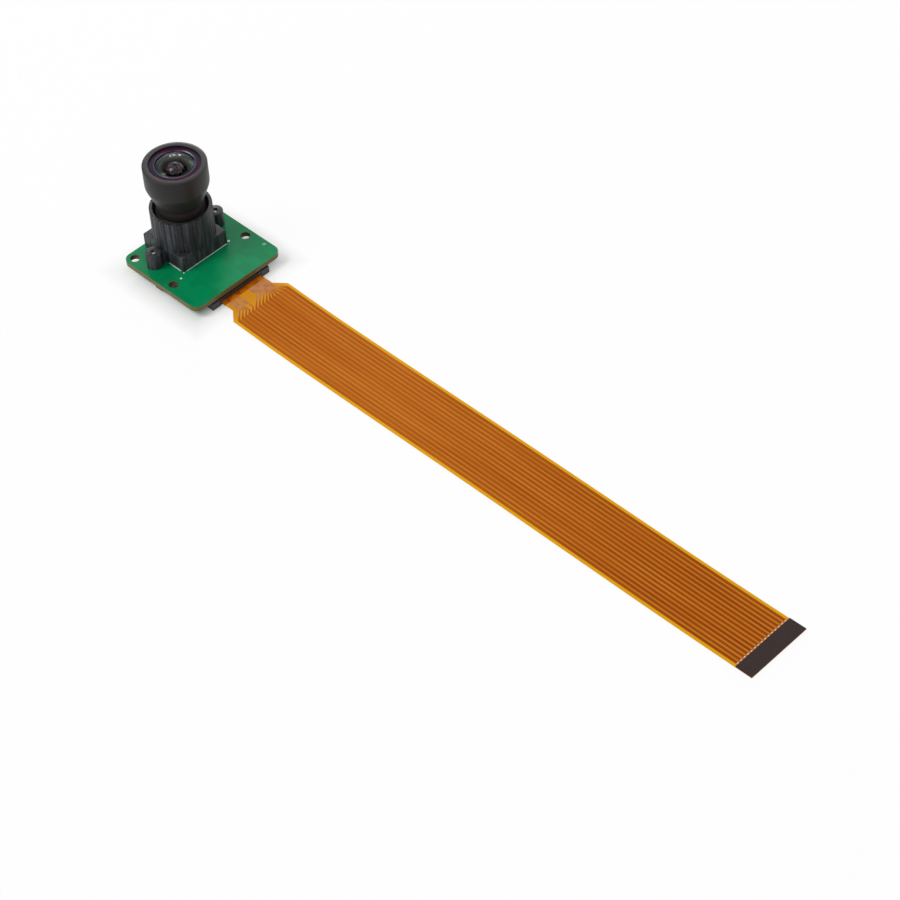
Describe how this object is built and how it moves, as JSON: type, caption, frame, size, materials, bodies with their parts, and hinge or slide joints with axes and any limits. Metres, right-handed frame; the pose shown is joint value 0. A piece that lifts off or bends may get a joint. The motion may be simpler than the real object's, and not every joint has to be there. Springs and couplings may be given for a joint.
{
  "type": "board camera module",
  "caption": "Square-board camera module: screw-focus lens in a fluted holder over the sensor, with a flat flexible cable in a slide-lock connector under the board's front edge.",
  "frame": {"origin": "centre of the four mounting holes, on the underside of the circuit board", "axes": "+Z is the way the lens looks, square to the board; the flat cable leaves along -Y; +X is to the right seen from the cable's end"},
  "size_m": [0.025, 0.1733, 0.0276],
  "materials": {
    "board_green": "green solder mask over glass-fibre laminate, satin gloss",
    "holder_black": "matt black moulding, finely fluted",
    "screw_steel": "plated steel",
    "sensor_ceramic": "matt ceramic",
    "sensor_silicon": "polished silicon",
    "sensor_glass": "clear polished glass",
    "filter_glass": "blue-green coated filter glass",
    "lens_black": "black anodised, satin",
    "lens_glass": "coated optical glass, purple and green reflections",
    "connector_plastic": "dark grey heat-resistant plastic",
    "gold_contacts": "gold plated, bright",
    "tinned_metal": "tinned, dull",
    "cable_film": "amber film over copper traces, glossy",
    "head_stiffener_amber": "thick amber film, glossy",
    "end_stiffener_dark": "dark brown stiffener, satin",
    "oscillator_lid": "plated metal lid",
    "package_black": "matt black moulding compound",
    "inductor_ferrite": "matt dark ferrite",
    "capacitor_ceramic": "tan ceramic",
    "resistor_black": "black coating on white ceramic"
  },
  "bodies": {
    "module_base": {"circuit_board": "board_green", "lens_holder": "holder_black", "holder_screws": "screw_steel", "sensor_package": "sensor_ceramic", "sensor_die": "sensor_silicon", "sensor_cover_glass": "sensor_glass", "ir_cut_filter": "filter_glass", "connector_housing": "connector_plastic", "connector_contacts": "gold_contacts", "connector_solder_tabs": "tinned_metal", "oscillator": "oscillator_lid", "voltage_regulators": "package_black", "inductor": "inductor_ferrite", "capacitor_bodies": "capacitor_ceramic", "resistor_bodies": "resistor_black", "chip_terminals": "tinned_metal", "flex_cable": "cable_film", "cable_head_stiffener": "head_stiffener_amber", "cable_head_contacts": "gold_contacts", "cable_end_stiffener": "end_stiffener_dark", "cable_end_contacts": "gold_contacts"},
    "lens_glasses": {"front_element": "lens_glass", "second_element": "lens_glass", "rear_element": "lens_glass"},
    "lens_tube": {"lens_barrel": "lens_black", "front_spacer": "lens_black", "aperture_stop": "lens_black", "rear_retaining_ring": "lens_black"},
    "lock_slider": {"connector_slider": "connector_plastic"}
  },
  "joints": [
    {"name": "focus_travel", "type": "slide", "parent": "module_base", "child": "lens_glasses", "axis": [0, 0, 1], "range_m": [-0.0005, 0.0015]},
    {"name": "focus_turn", "type": "hinge", "parent": "lens_glasses", "child": "lens_tube", "pos_m": [0, 0.00135, 0.0125], "axis": [0, 0, 1], "range_deg": [-364, 1086]},
    {"name": "lock_slide", "type": "slide", "parent": "module_base", "child": "lock_slider", "axis": [0, -1, 0], "range_m": [0, 0.001]}
  ],
  "couplings": [
    {"joint": "focus_turn", "follows": "focus_travel", "rad_per_m": 12566}
  ]
}
